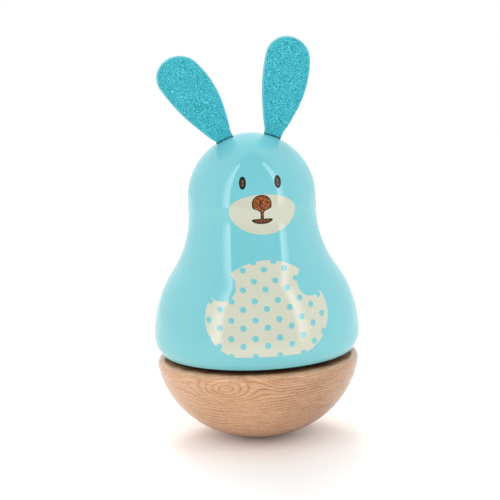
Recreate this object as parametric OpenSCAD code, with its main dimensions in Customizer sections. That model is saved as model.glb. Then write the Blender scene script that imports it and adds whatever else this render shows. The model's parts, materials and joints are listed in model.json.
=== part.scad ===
// Rabbit music box: a turned wooden rabbit that twists on a rocking base and plays as it turns back.
// Millimetres, +Z up. The origin is on the floor under the turning axis, and the face looks along -Y.

/* [Base] */
// Height of the base, floor to rim
base_h = 40.5; // [36:0.5:52]
// Radius of the rim
rim_r = 50.1; // [47:0.1:60]
// Radius of the flat foot
foot_r = 10; // [6:0.5:14]
// Radius of the arc under the bowl
bowl_low_r = 56; // [54:0.5:72]
// Angle at which the lower arc hands over to the side arc
bowl_turn = 30; // [24:0.5:36]
// Rounding of the rim's edge
rim_round = 3; // [1:0.1:4]
// Thickness of wood under the ballast pocket
pocket_floor = 14; // [11:0.5:16]
// Radius of the ballast
ballast_r = 21.7; // [18:0.1:23]
// Height of the ballast
ballast_h = 12; // [8:0.5:13]
// Width of the ledge that carries the cover
cover_ledge = 8; // [7:0.5:10]
// Thickness of the cover
cover_t = 4; // [3:0.5:5]

/* [Body] */
// Gap between the rim and the body's lower edge
turn_gap = 2.5; // [2:0.1:4]
// Radius of the belly at its widest
belly_r = 50.6; // [50.4:0.1:58]
// Height of the widest place above the lower edge
belly_drop = 8.7; // [8.4:0.1:9]
// Radius of the arc under the widest place, in profile
belly_low_r = 12.5; // [12.2:0.1:14]
// Radius of the belly's arc in profile
belly_arc_r = 54.7; // [50:0.1:62]
// Radius of the neck's hollow arc in profile
neck_arc_r = 51.5; // [42:0.5:58]
// Length of the straight neck
neck_l = 6.5; // [4:0.1:12]
// Radius of the head
head_r = 31.6; // [29:0.1:35]
// Rounding of the lower edge
edge_round = 0.8; // [0.6:0.1:1]
// Radius of the narrow upper chamber
chamber_r = 24; // [16:0.5:25]
// Height of the upper chamber above the main one
chamber_h = 28; // [16:0.5:32]

/* [Ears] */
// Thickness of the felt
ear_t = 3; // [2:0.1:4]
// Length of an ear outside the head
ear_l = 49.2; // [46:0.1:56]
// Widest half-width of an ear
ear_half_w = 11.3; // [11.1:0.1:12]
// Radius of an ear's side arcs
ear_side_r = 64; // [58:1:80]
// Radius of an ear's tip
ear_tip_r = 11; // [9.5:0.1:11.1]
// Depth of the ear's tenon in the head
ear_tenon = 9; // [6:0.5:12]
// Sideways place of the left ear's root
ear_left_x = -12.2; // [-15:0.1:-10]
// Sideways lean of the left ear, degrees
ear_left_lean = -34; // [-40:0.1:-20]
// Sideways place of the right ear's root
ear_right_x = 11.4; // [10:0.1:15]
// Sideways lean of the right ear, degrees
ear_right_lean = 13.2; // [6:0.1:30]
// Depth by which the left ear sits further in
ear_left_sink = 0.8; // [0:0.1:2]

/* [Bottom plate] */
// Depth of the plate inside the lower edge
plate_recess = 1; // [0.6:0.1:2]
// Thickness of the plate
plate_t = 4; // [3:0.5:5]
// Width of the ledge that carries the plate
plate_ledge = 5; // [4.8:0.1:5.4]

/* [Drive] */
// Radius of the winding arbor
arbor_r = 2.5; // [2:0.1:3]
// Radius of the drive flange
flange_r = 14; // [12.5:0.5:17]
// Thickness of the drive flange
flange_t = 1.5; // [1.4:0.1:2]
// Radius of the flange's hub
hub_r = 5.5; // [5:0.1:6.5]
// Length of the hub under the flange
hub_l = 10; // [9:0.5:10.5]
// Outer radius of the thrust washer
washer_r = 12; // [8:0.5:14]
// Wall of the arbor bush
bush_wall = 1.5; // [1:0.1:2]
// Thickness of the bush's flange
bush_flange_t = 0.6; // [0.4:0.1:1]
// Teeth of the ratchet wheel
ratchet_teeth = 14; // [10:1:18]
// Outer radius of the ratchet wheel
ratchet_r = 6; // [5.5:0.1:6.5]
// Thickness of the ratchet wheel and its click
ratchet_t = 1.2; // [1:0.1:1.6]

/* [Movement] */
// Thickness of the bedplate
bed_t = 1.6; // [1.2:0.1:2.4]
// Reach of the bedplate behind the arbor
bed_back_x = 21; // [19.5:0.5:24]
// Reach of the bedplate towards the comb
bed_comb_y = 23.5; // [23:0.5:26]
// Reach of the bedplate towards the governor
bed_fly_y = 25.5; // [25:0.5:28]
// Thickness of the brackets
bracket_t = 1.2; // [1:0.1:1.4]
// Wall of the spring drum
drum_wall = 0.8; // [0.6:0.1:1]
// Height of the spring strip
spring_h = 9; // [7:0.5:10]
// Thickness of the spring strip
spring_t = 0.4; // [0.3:0.05:0.5]
// Coils of the spring
spring_coils = 6; // [4:1:7]

/* [Gear train] */
// Teeth of the great wheel
great_teeth = 45; // [44:1:47]
// Module of the great wheel
great_module = 0.6; // [0.58:0.01:0.63]
// Width of the great wheel's crown teeth
crown_face = 1.8; // [1.6:0.1:2]
// Thickness of the great wheel's disc
great_t = 1.4; // [1:0.1:1.8]
// Teeth of the cylinder's pinion
pinion_teeth = 10; // [10:1:12]
// Teeth of the cylinder's gear
train_teeth = 34; // [32:1:36]
// Module of the cylinder's gear
train_module = 0.4; // [0.38:0.01:0.42]
// Thickness of the cylinder's gear
train_t = 1.5; // [1:0.1:1.6]
// Teeth of the governor's pinion
governor_teeth = 11; // [11:1:13]
// Teeth of the worm wheel
worm_wheel_teeth = 20; // [18:1:20]
// Module of the worm and its wheel
worm_module = 0.5; // [0.45:0.01:0.5]
// Pitch radius of the worm
worm_r = 1.6; // [1.5:0.05:2]
// Length of the worm's thread
worm_l = 7; // [5:0.5:7.5]

/* [Notes] */
// Notes on the cylinder
note_count = 18; // [12:1:19]
// Distance from note to note
note_pitch = 0.82; // [0.76:0.01:0.86]
// Radius of the note cylinder
cyl_r = 6.5; // [6:0.1:7]
// Height of the pins
pin_h = 0.5; // [0.3:0.05:0.6]
// Radius of the pins
pin_r = 0.2; // [0.15:0.01:0.25]
// Thickness of the comb
comb_t = 0.8; // [0.6:0.1:1]
// Width of a comb tooth
tooth_w = 0.55; // [0.45:0.01:0.6]
// Depth of the comb from its tips to its back
comb_l = 14.8; // [14:0.1:15.2]
// Length of the longest tooth
bass_l = 9.2; // [8:0.1:9.6]
// Length of the shortest tooth
treble_l = 5.4; // [4:0.1:7]
// Weighted bass teeth
weight_count = 8; // [4:1:10]
// Height of the largest weight
weight_h = 2; // [1:0.1:2.6]

/* [Governor] */
// Radius of the fly's vane
vane_r = 5.6; // [4.5:0.1:5.8]
// Height of the fly's vane
vane_h = 5.5; // [4:0.5:6]
// Thickness of the fly's vane
vane_t = 0.6; // [0.4:0.1:0.8]

/* [Fasteners] */
// Shank radius of the wood screws
wood_shank_r = 1.1; // [0.9:0.05:1.2]
// Head radius of the wood screws
wood_head_r = 2.2; // [2:0.1:2.4]
// Length of the wood screws
wood_screw_l = 14; // [12:0.5:16]
// Shank radius of the machine screws
machine_shank_r = 0.9; // [0.8:0.05:1]
// Head radius of the machine screws
machine_head_r = 1.6; // [1.4:0.1:1.7]
// Head height of the machine screws
machine_head_h = 1.1; // [0.8:0.1:1.2]

/* [Clearances] */
// Gap around wood and felt let into wood
wood_gap = 0.15; // [0.1:0.05:0.3]
// Radial play of a running or clearance fit
fit = 0.05; // [0.03:0.01:0.08]
// Gap between parts that turn past each other
run_gap = 0.4; // [0.3:0.05:0.5]
// Room between the movement and the wood
cavity_gap = 1; // [0.8:0.1:1.4]
// Play of meshing teeth
tooth_play = 0.2; // [0.16:0.01:0.24]

/* [Hidden] */
$fn = 64;
// Overlap that lets a cut run clear of a face
eps = 0.5;
pressure = 20;

// Bowl profile: two arcs that share a tangent, and a rounded rim
low_c_z = sqrt(bowl_low_r * bowl_low_r - foot_r * foot_r);
turn_dir = [sin(bowl_turn), -cos(bowl_turn)];
turn_at = [0, low_c_z] + bowl_low_r * turn_dir;
to_rim = [rim_r, base_h] - turn_at;
bowl_side_r = -(to_rim * to_rim) / (2 * to_rim * turn_dir);
side_c = turn_at - bowl_side_r * turn_dir;
rim_c = inner_tangent(side_c, bowl_side_r, rim_round, base_h - rim_round);
rim_tangent = reach(side_c, rim_c, bowl_side_r);

// Base insides
pocket_r = ballast_r + wood_gap * 2;
cover_r = pocket_r + cover_ledge;
cover_z = base_h - cover_t;
cover_screw_r = pocket_r + cover_ledge / 2;
ballast_screw_l = ballast_h + pocket_floor / 2;
grub_r = 1.25;
grub_z = base_h - (cover_t + hub_l) / 2;
flange_screw_l = flange_t + cover_t * 0.8;
flange_screw_r = (flange_r + hub_r) / 2 + 0.4;

// Body profile: lower arc, belly arc, hollow neck arc, straight neck and round head
body_z = base_h + turn_gap;
belly_z = body_z + belly_drop;
lower_c = [belly_r - belly_low_r, belly_z];
belly_c = [belly_r - belly_arc_r, belly_z];
sweep = acos(1 - (belly_r - head_r) / (neck_arc_r + belly_arc_r));
neck_z = belly_z + (neck_arc_r + belly_arc_r) * sin(sweep);
neck_c = [head_r + neck_arc_r, neck_z];
flare = belly_c + belly_arc_r * [cos(sweep), sin(sweep)];
head_z = neck_z + neck_l;
edge_c = inner_tangent(lower_c, belly_low_r, edge_round, body_z + edge_round);
edge_tangent = reach(lower_c, edge_c, belly_low_r);

// Ear outline: side arcs that run into a round tip
ear_rise = sqrt(pow(ear_side_r - ear_tip_r, 2) - pow(ear_side_r - ear_half_w, 2));
ear_tip_t = ear_l - ear_tip_r;
ear_wide_t = ear_tip_t - ear_rise;
ear_side_c = [ear_half_w - ear_side_r, ear_wide_t];
ear_tangent = reach(ear_side_c, [0, ear_tip_t], ear_side_r);
ear_straight = 3;
ear_root_w = ear_side_c[0] + sqrt(pow(ear_side_r, 2) - pow(ear_wide_t - ear_straight, 2));

// Heights from the bottom plate up
plate_z = body_z + plate_recess;
bed_z = plate_z + plate_t;
bed_top = bed_z + bed_t;
bush_r = arbor_r + fit + bush_wall;
bush_lip = 1.2;
bush_foot = 0.6;
bush_flange_r = bush_r + bush_lip;
bush_top = bed_top + bush_flange_t;
ratchet_z = bush_top + run_gap;
ratchet_tooth_h = 1;
click_at = 60;
click_reach = 3.2;
click_pivot_r = ratchet_r + click_reach;
click_pin_r = 0.6;
click_eye_r = 1.4;
click_nose = [ratchet_r + 0.15, -34];
click_heel = [ratchet_r + 1.5, -30];
click_spring_t = 0.3;
click_spring_h = 0.8;
// Depth and height of a tooth, as shares of its module
dedendum = 1.25;
addendum = 0.85;
great_pitch_r = great_teeth * great_module / 2;
pinion_pitch_r = pinion_teeth * great_module / 2;
train_pitch_r = train_teeth * train_module / 2;
train_tip_r = train_pitch_r + addendum * train_module;
wheel_stack = ratchet_z + ratchet_t + run_gap + great_t + dedendum * great_module + pinion_pitch_r;
cyl_z = max(wheel_stack, bed_top + run_gap + max(cyl_r + pin_h, train_tip_r));
crown_z = cyl_z - pinion_pitch_r - dedendum * great_module;
great_z = crown_z - great_t;

// Places along the cylinder's axis
pinion_end = 0.2;
pinion_face = crown_face - 2 * pinion_end;
pinion_x = great_pitch_r - pinion_face / 2;
crown_lip = 0.2;
great_outer_r = great_pitch_r + crown_face / 2 + crown_lip;
wheel_gap = 0.6;
end_gap = 0.5;
bracket_left_x = great_outer_r + 2 * run_gap;
train_x = bracket_left_x + bracket_t + wheel_gap;
cyl_x = train_x + train_t + end_gap;
cyl_end = 0.4;
cyl_l = note_count * note_pitch + 2 * cyl_end;
bracket_right_x = cyl_x + cyl_l + end_gap;
cyl_arbor_r = 1;
bracket_half_w = 2.6;
bracket_land = 2.2;
bracket_top = cyl_z + cyl_arbor_r + bracket_land;
foot_t = 1;
foot_l = 3.4;
side_foot_d = 6;
side_foot_y = -(train_tip_r + wheel_gap);

// Comb and its ledge on the bedplate
comb_gap = 0.15;
comb_tip_y = -(cyl_r + pin_h + comb_gap);
comb_back_y = comb_tip_y - comb_l;
comb_z = cyl_z - comb_t / 2;
comb_x = cyl_x + cyl_end + (note_pitch - tooth_w) / 2;
comb_w = (note_count - 1) * note_pitch + tooth_w;
comb_overhang = 0.6;
comb_ledge_d = comb_l - bass_l - comb_overhang;
comb_corner = 2;
comb_screw_y = comb_back_y + comb_ledge_d / 2;
comb_screw_at = [0.25, 0.72];
comb_screw_x = [for (share = comb_screw_at) comb_x + comb_w * share];
weight_tip = 1;
weight_l = 2.6;
screw_bite = 3;

// Governor
governor_pitch_r = governor_teeth * train_module / 2;
governor_y = train_pitch_r + governor_pitch_r;
governor_arbor_r = 0.7;
pivot_end = 0.4;
governor_face = train_t + 2 * pinion_end;
worm_wheel_r = worm_wheel_teeth * worm_module / 2;
worm_wheel_t = 1.4;
worm_wheel_x = great_outer_r + run_gap;
worm_pitch = PI * worm_module;
fly_x = worm_wheel_x + worm_wheel_t / 2;
fly_y = governor_y + worm_wheel_r + worm_r;
fly_shaft_r = 0.8;
fly_pivot_r = 0.5;
fly_pivot_l = 1.2;
fly_boss_h = 1.6;
vane_z = max(cyl_z + worm_wheel_r + worm_module, cyl_z + worm_l / 2) + 1.5 * run_gap;
fly_top = vane_z + vane_h;
governor_top = fly_top + run_gap + fly_pivot_l;
cheek_t = 1;
cheek_front = 1.8;
cheek_back = 2;
cheek_land = 2;
cheek_left_x = worm_wheel_x - end_gap - cheek_t;
cheek_right_x = train_x + train_t + 2 * end_gap;
cheek_y0 = governor_y - cheek_front;
cheek_y1 = governor_y + cheek_back;
governor_foot_w = 6;
governor_foot_x = cheek_right_x + cheek_t + governor_foot_w;
vane_gap = 1;
vane_hub_wall = 0.7;
upright_y = fly_y + vane_r + vane_gap;
upright_t = 1.4;
upright_half_w = 3;
arm_half_w = 1.6;
fly_boss_wall = 1;

// Spring drum
drum_r = great_pitch_r - crown_face / 2 - 2 * run_gap;
drum_z = crown_z + run_gap;
spring_lift = 1;
spring_z = drum_z + spring_lift;
drum_top = spring_z + spring_h + run_gap + drum_wall;
leg_gap = 0.8;
leg_half_w = 2;
leg_half_t = 1.6;
leg_r = great_outer_r + leg_gap + leg_half_t;
leg_at = [90, 180, 270];
leg_screw_at = [for (a = leg_at) polar(leg_r, a)];
spring_out_r = drum_r - drum_wall - spring_t - 2 * fit;
spring_in_r = arbor_r + run_gap + spring_t;
arbor_foot = 1;
arbor_end = 2;
arbor_top = drum_top + run_gap + arbor_end;
clip_groove_d = 0.6;
clip_t = 0.8;
clip_w = 1.5;

// Room for the movement in the body
movement_reach = max(
    norm([bracket_right_x + bracket_t + foot_l, bracket_half_w]),
    norm([comb_x + comb_w, -comb_back_y - comb_corner]),
    norm([comb_x + comb_w - comb_corner, -comb_back_y]),
    norm([governor_foot_x, upright_y + upright_t])
);
cavity_r = movement_reach + cavity_gap;
cavity_top = max(governor_top, arbor_top) + cavity_gap;
plate_r = cavity_r + plate_ledge;
plate_screw_r = cavity_r + plate_ledge / 2;
bed_round = 3;

// Screw heads
wood_head_h = 1.4;
ballast_shank_r = wood_shank_r * 1.4;
ballast_head_r = wood_head_r * 1.4;
ballast_head_h = wood_head_h * 1.4;
flange_head_h = flange_t - 0.3;
movement_screw_tip = 0.6;
movement_screw_l = plate_t + bed_t + movement_screw_tip;
leg_head_room = 2;
bed_screw_in = 4;
foot_screw_in = 2.6;
movement_screw_at = [
    [bed_screw_in - bed_back_x, bed_screw_in - bed_comb_y],
    [bed_screw_in - bed_back_x, bed_fly_y - bed_screw_in],
    [governor_foot_x + bed_screw_in + 1, cheek_y1 + bed_screw_in]
];
bracket_screw_at = [
    [train_x + foot_l / 2, side_foot_y - side_foot_d / 2],
    [bracket_right_x + bracket_t + foot_l / 2, 0]
];
governor_screw_at = [
    [governor_foot_x - foot_screw_in, cheek_y0 + foot_screw_in],
    [governor_foot_x - foot_screw_in, upright_y - foot_screw_in]
];

// Centre of a small circle of radius r, at height z, that touches a larger circle from inside
function inner_tangent(c, big_r, r, z) = [c[0] + sqrt(pow(big_r - r, 2) - pow(z - c[1], 2)), z];

// Point at distance r from a, towards b
function reach(a, b, r) = a + r * (b - a) / norm(b - a);

function polar(r, a) = [r * cos(a), r * sin(a)];

function involute(a) = tan(a) - a * PI / 180;

// Half the angle that a tooth takes at radius r
function tooth_half(r, pitch_r, teeth, play) =
    let (base_r = pitch_r * cos(pressure), a = r > base_r ? acos(base_r / r) : 0)
    90 / teeth + (involute(pressure) - involute(a) - play / (2 * pitch_r)) * 180 / PI;

// Outline of a spur gear with a tooth on its +X side
function gear_points(teeth, mod, play) =
    let (
        pitch_r = teeth * mod / 2,
        root_r = pitch_r - dedendum * mod,
        tip_r = pitch_r + addendum * mod,
        levels = [root_r, pitch_r - mod / 3, pitch_r, (pitch_r + tip_r) / 2, tip_r]
    )
    [
        for (t = [0 : teeth - 1], side = [-1, 1], i = [0 : len(levels) - 1])
            let (r = side < 0 ? levels[i] : levels[len(levels) - 1 - i])
                polar(r, t * 360 / teeth + side * tooth_half(r, pitch_r, teeth, play))
    ];

// Height of the worm's thread at a turn angle away from the thread's middle
function thread_r(a) =
    let (from_flank = worm_pitch / 4 - tooth_play / 2 - abs(a) / 360 * worm_pitch)
    min(worm_r + addendum * worm_module,
        max(worm_r - dedendum * worm_module, worm_r + from_flank / tan(pressure)));

// Sets children along the cylinder's axis: their X becomes +Y and their Y becomes +Z
module along_x(x, y = 0) {
    translate([x, y, cyl_z]) rotate([90, 0, 90]) children();
}

module gear(teeth, mod, thickness, bore_r, turn = 0) {
    linear_extrude(thickness) difference() {
        rotate(turn) polygon(gear_points(teeth, mod, tooth_play));
        circle(r = bore_r);
    }
}

// Countersunk screw with its head's top at the origin and its tip below
module sunk_screw(l, shank_r, head_r, head_h) {
    slot_w = head_r * 0.3;
    slot_l = head_r * 1.2;
    difference() {
        union() {
            translate([0, 0, -head_h]) cylinder(r1 = shank_r, r2 = head_r, h = head_h);
            translate([0, 0, -l]) cylinder(r = shank_r, h = l - head_h / 2);
        }
        for (a = [0, 90])
            rotate(a) translate([-slot_l / 2, -slot_w / 2, -head_h / 2]) cube([slot_l, slot_w, head_h]);
    }
}

// Hole for a countersunk screw, open above its head
module sunk_hole(l, shank_r, head_r, head_h) {
    translate([0, 0, -head_h]) cylinder(r1 = shank_r + fit, r2 = head_r + fit, h = head_h);
    translate([0, 0, -l - fit]) cylinder(r = shank_r + fit, h = l);
    cylinder(r = head_r + fit, h = eps);
}

// Cheese-head screw with its head on the plane through the origin
module cheese_screw(l, shank_r, head_r, head_h) {
    slot_w = head_r * 0.3;
    difference() {
        union() {
            cylinder(r = head_r, h = head_h);
            translate([0, 0, -l]) cylinder(r = shank_r, h = l + head_h / 2);
        }
        translate([-head_r - eps, -slot_w / 2, head_h * 0.5]) cube([2 * (head_r + eps), slot_w, head_h]);
    }
}

module at_points(points, z) {
    for (p = points)
        translate([p[0], p[1], z]) children();
}

module around(angles, r, z) {
    for (a = angles)
        rotate(a) translate([r, 0, z]) children();
}

// Half of the bowl's section. The pieces overlap inside it, so that they join as one
module bowl_outline() {
    intersection() {
        translate([0, low_c_z]) circle(r = bowl_low_r);
        square([rim_r, turn_at[1]]);
    }
    intersection() {
        translate(side_c) circle(r = bowl_side_r);
        square([bowl_side_r * 2, rim_tangent[1]]);
    }
    translate(rim_c) circle(r = rim_round);
    translate([0, rim_tangent[1] - rim_round]) square([rim_c[0], base_h - rim_tangent[1] + rim_round]);
}

module cover_screw_places(z) {
    around([30, 150, 270], cover_screw_r, z) children();
}

module flange_screw_places(z) {
    around([90, 210, 330], flange_screw_r, z) children();
}

module rocker_base() {
    color("burlywood") difference() {
        rotate_extrude() bowl_outline();
        translate([0, 0, pocket_floor]) cylinder(r = pocket_r, h = base_h);
        translate([0, 0, cover_z]) cylinder(r = cover_r + wood_gap, h = cover_t + eps);
        translate([0, 0, pocket_floor]) ballast_bore();
        cover_screw_places(base_h) sunk_hole(wood_screw_l, wood_shank_r, wood_shank_r, wood_head_h);
    }
}

module ballast_bore() {
    translate([0, 0, -pocket_floor / 2 - fit]) cylinder(r = ballast_shank_r + fit, h = pocket_floor);
}

module ballast_weight() {
    color("dimgray") difference() {
        translate([0, 0, pocket_floor]) cylinder(r = ballast_r, h = ballast_h);
        translate([0, 0, pocket_floor + ballast_h])
            sunk_hole(ballast_screw_l, ballast_shank_r, ballast_head_r, ballast_head_h);
    }
}

module ballast_screw() {
    color("silver") translate([0, 0, pocket_floor + ballast_h])
        sunk_screw(ballast_screw_l, ballast_shank_r, ballast_head_r, ballast_head_h);
}

module base_cover() {
    color("wheat") difference() {
        translate([0, 0, cover_z]) cylinder(r = cover_r, h = cover_t);
        translate([0, 0, cover_z - eps]) cylinder(r = hub_r + 2 * wood_gap, h = cover_t + 2 * eps);
        cover_screw_places(base_h) sunk_hole(wood_screw_l, wood_shank_r, wood_head_r, wood_head_h);
        flange_screw_places(base_h + flange_t)
            sunk_hole(flange_screw_l, machine_shank_r, machine_shank_r, flange_head_h);
    }
}

module base_cover_screws() {
    color("silver") cover_screw_places(base_h)
        sunk_screw(wood_screw_l, wood_shank_r, wood_head_r, wood_head_h);
}

module drive_flange() {
    color("silver") difference() {
        union() {
            translate([0, 0, base_h]) cylinder(r = flange_r, h = flange_t);
            translate([0, 0, base_h - hub_l]) cylinder(r = hub_r, h = hub_l + flange_t / 2);
        }
        translate([0, 0, base_h - hub_l - eps]) cylinder(r = arbor_r + fit, h = hub_l + flange_t + 2 * eps);
        flange_screw_places(base_h + flange_t)
            sunk_hole(flange_screw_l, machine_shank_r, machine_head_r, flange_head_h);
        translate([0, 0, grub_z]) rotate([0, 90, 0]) cylinder(r = grub_r + fit, h = hub_r + eps);
    }
}

module drive_flange_screws() {
    color("silver") flange_screw_places(base_h + flange_t)
        sunk_screw(flange_screw_l, machine_shank_r, machine_head_r, flange_head_h);
}

module grub_screw() {
    socket_r = grub_r * 0.5;
    socket_d = 1;
    grub_l = hub_r - arbor_r - 0.4;
    color("dimgray") translate([arbor_r + 2 * fit, 0, grub_z]) rotate([0, 90, 0]) difference() {
        cylinder(r = grub_r, h = grub_l);
        translate([0, 0, grub_l - socket_d]) cylinder(r = socket_r, h = socket_d + eps, $fn = 6);
    }
}

module thrust_washer() {
    color("ivory") translate([0, 0, base_h + flange_t]) difference() {
        cylinder(r = washer_r, h = plate_z - base_h - flange_t);
        translate([0, 0, -eps]) cylinder(r = bush_r + 2 * wood_gap, h = plate_z - base_h);
    }
}

module winding_arbor() {
    foot_z = base_h - hub_l + arbor_foot;
    color("silver") difference() {
        translate([0, 0, foot_z]) cylinder(r = arbor_r, h = arbor_top - foot_z);
        translate([0, 0, drum_top + run_gap]) clip_groove();
    }
}

module clip_groove() {
    difference() {
        cylinder(r = arbor_r + eps, h = clip_t + 2 * fit);
        translate([0, 0, -eps]) cylinder(r = arbor_r - clip_groove_d, h = clip_t + 2 * eps);
    }
}

module arbor_clip() {
    mouth = (arbor_r - clip_groove_d) * 1.5;
    color("dimgray") translate([0, 0, drum_top + run_gap + fit]) difference() {
        cylinder(r = arbor_r + clip_w, h = clip_t);
        translate([0, 0, -eps]) cylinder(r = arbor_r - clip_groove_d + fit, h = clip_t + 2 * eps);
        translate([0, -mouth / 2, -eps]) cube([arbor_r * 2, mouth, clip_t + 2 * eps]);
    }
}

module ratchet_wheel() {
    root_r = ratchet_r - ratchet_tooth_h;
    points = [
        for (t = [0 : ratchet_teeth - 1], r = [root_r, ratchet_r])
            polar(r, t * 360 / ratchet_teeth)
    ];
    color("goldenrod") translate([0, 0, ratchet_z]) linear_extrude(ratchet_t) difference() {
        polygon(points);
        circle(r = arbor_r + fit);
    }
}

module crown_tooth() {
    pitch = PI * great_module;
    low = -dedendum * great_module - great_t / 2;
    high = addendum * great_module;
    half_low = pitch / 4 - tooth_play / 2 + dedendum * great_module * tan(pressure);
    half_high = pitch / 4 - tooth_play / 2 - high * tan(pressure);
    rotate([90, 0, 90]) linear_extrude(crown_face)
        polygon([[-half_low, low], [half_low, low], [half_high, high], [-half_high, high]]);
}

module great_wheel() {
    rim_w = 1.6;
    spoke_w = 1.2;
    web_r = great_pitch_r - crown_face / 2 - rim_w;
    wheel_hub_r = arbor_r + rim_w;
    color("goldenrod") difference() {
        union() {
            translate([0, 0, great_z]) cylinder(r = great_outer_r, h = great_t);
            translate([0, 0, ratchet_z + ratchet_t])
                cylinder(r = wheel_hub_r, h = drum_z - ratchet_z - ratchet_t);
            around([for (t = [0 : great_teeth - 1]) (t + 0.5) * 360 / great_teeth],
                great_pitch_r - crown_face / 2, cyl_z - pinion_pitch_r) crown_tooth();
        }
        translate([0, 0, ratchet_z]) cylinder(r = arbor_r + fit, h = drum_z);
        around([0, 120, 240], (web_r + wheel_hub_r) / 2, great_z - eps)
            cylinder(r = (web_r - wheel_hub_r - spoke_w) / 2, h = great_t + 2 * eps);
        around([click_at], click_pivot_r, great_z - eps)
            cylinder(r = click_pin_r + fit, h = great_t + 2 * eps);
    }
}

// The click's nose reaches back along the ratchet's rim from its pivot
module click() {
    nose = polar(click_nose[0], click_at + click_nose[1]);
    heel = polar(click_heel[0], click_at + click_heel[1]);
    side = polar(click_eye_r - 0.1, click_at);
    pivot = polar(click_pivot_r, click_at);
    color("silver") translate([0, 0, ratchet_z]) linear_extrude(ratchet_t) difference() {
        union() {
            translate(pivot) circle(r = click_eye_r);
            polygon([nose, heel, pivot + side, pivot - side]);
        }
        translate(pivot) circle(r = click_pin_r + fit);
    }
}

module click_pin() {
    color("silver") around([click_at], click_pivot_r, ratchet_z)
        cylinder(r = click_pin_r, h = crown_z - ratchet_z);
}

// A bent strip that lies behind the click and presses its nose inwards
module click_spring() {
    spring_r = click_pivot_r + click_eye_r + click_spring_t;
    far = spring_r * 2;
    color("silver") translate([0, 0, great_z - click_spring_h]) linear_extrude(click_spring_h)
        intersection() {
            difference() {
                circle(r = spring_r + click_spring_t);
                circle(r = spring_r);
            }
            polygon([[0, 0], polar(far, click_at - 40), polar(far, click_at + 15)]);
        }
}

// Half of the body's section, from pieces that overlap inside it
module body_outline() {
    translate(edge_c) circle(r = edge_round);
    translate([0, body_z]) square([edge_c[0], belly_drop + edge_round]);
    intersection() {
        translate(lower_c) circle(r = belly_low_r);
        translate([0, edge_tangent[1]]) square([belly_r * 2, belly_z - edge_tangent[1]]);
    }
    intersection() {
        translate(belly_c) circle(r = belly_arc_r);
        translate([0, belly_z]) square(belly_arc_r * 2);
    }
    difference() {
        translate([0, flare[1]]) square([flare[0], neck_z - flare[1]]);
        translate(neck_c) circle(r = neck_arc_r);
    }
    translate([0, flare[1]]) square([head_r, head_z - flare[1]]);
    intersection() {
        translate([0, head_z]) circle(r = head_r);
        translate([0, head_z - head_r]) square(head_r * 2);
    }
}

module plate_screw_places(z) {
    around([45, 135, 225, 315], plate_screw_r, z) children();
}

module rabbit_body() {
    color("skyblue") difference() {
        rotate_extrude() body_outline();
        translate([0, 0, body_z - eps]) cylinder(r = plate_r + wood_gap, h = bed_z - body_z + eps);
        translate([0, 0, bed_z - eps]) cylinder(r = cavity_r, h = cavity_top - bed_z + eps);
        translate([0, 0, cavity_top - eps]) cylinder(r = chamber_r, h = chamber_h + eps);
        plate_screw_places(plate_z) mirror([0, 0, 1])
            sunk_hole(wood_screw_l, wood_shank_r, wood_shank_r, wood_head_h);
        ear_slot(ear_left_x, ear_left_lean, ear_left_sink);
        ear_slot(ear_right_x, ear_right_lean);
    }
}

// Sets an ear's outline upright at its root on the head
module at_ear(x, lean, sink) {
    root = [x, 0, head_z + sqrt(head_r * head_r - x * x)];
    translate(root) rotate([0, lean, 0]) translate([0, 0, -sink]) rotate([90, 0, 0]) children();
}

module ear_outline() {
    translate([-ear_root_w, -ear_tenon]) square([2 * ear_root_w, ear_tenon + ear_straight]);
    intersection() {
        translate(ear_side_c) circle(r = ear_side_r);
        translate([-ear_side_c[0], ear_side_c[1]]) circle(r = ear_side_r);
        translate([-ear_half_w, ear_straight]) square([2 * ear_half_w, ear_tangent[1] - ear_straight]);
    }
    translate([0, ear_tip_t]) circle(r = ear_tip_r);
}

module ear_slot(x, lean, sink = 0) {
    slot_w = 2 * (ear_root_w + wood_gap);
    at_ear(x, lean, sink) translate([-slot_w / 2, -ear_tenon - wood_gap, -ear_t / 2 - wood_gap])
        cube([slot_w, ear_tenon + ear_t * 2, ear_t + 2 * wood_gap]);
}

module ear(x, lean, sink = 0) {
    color("darkturquoise") at_ear(x, lean, sink) linear_extrude(ear_t, center = true) ear_outline();
}

module ear_left() {
    ear(ear_left_x, ear_left_lean, ear_left_sink);
}

module ear_right() {
    ear(ear_right_x, ear_right_lean);
}

module bottom_plate() {
    color("wheat") difference() {
        translate([0, 0, plate_z]) cylinder(r = plate_r, h = plate_t);
        translate([0, 0, plate_z - eps]) cylinder(r = bush_r + 2 * wood_gap, h = plate_t + 2 * eps);
        plate_screw_places(plate_z) mirror([0, 0, 1])
            sunk_hole(wood_screw_l, wood_shank_r, wood_head_r, wood_head_h);
        at_points(movement_screw_at, plate_z) mirror([0, 0, 1])
            sunk_hole(movement_screw_l, machine_shank_r, wood_head_r, wood_head_h);
        for (p = leg_screw_at)
            translate([p[0], p[1], bed_z - leg_head_room])
                cylinder(r = machine_head_r + wood_gap, h = leg_head_room + eps);
    }
}

module bottom_plate_screws() {
    color("silver") plate_screw_places(plate_z) mirror([0, 0, 1])
        sunk_screw(wood_screw_l, wood_shank_r, wood_head_r, wood_head_h);
}

module movement_screws() {
    color("silver") at_points(movement_screw_at, plate_z) mirror([0, 0, 1])
        sunk_screw(movement_screw_l, machine_shank_r, wood_head_r, wood_head_h);
}

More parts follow.
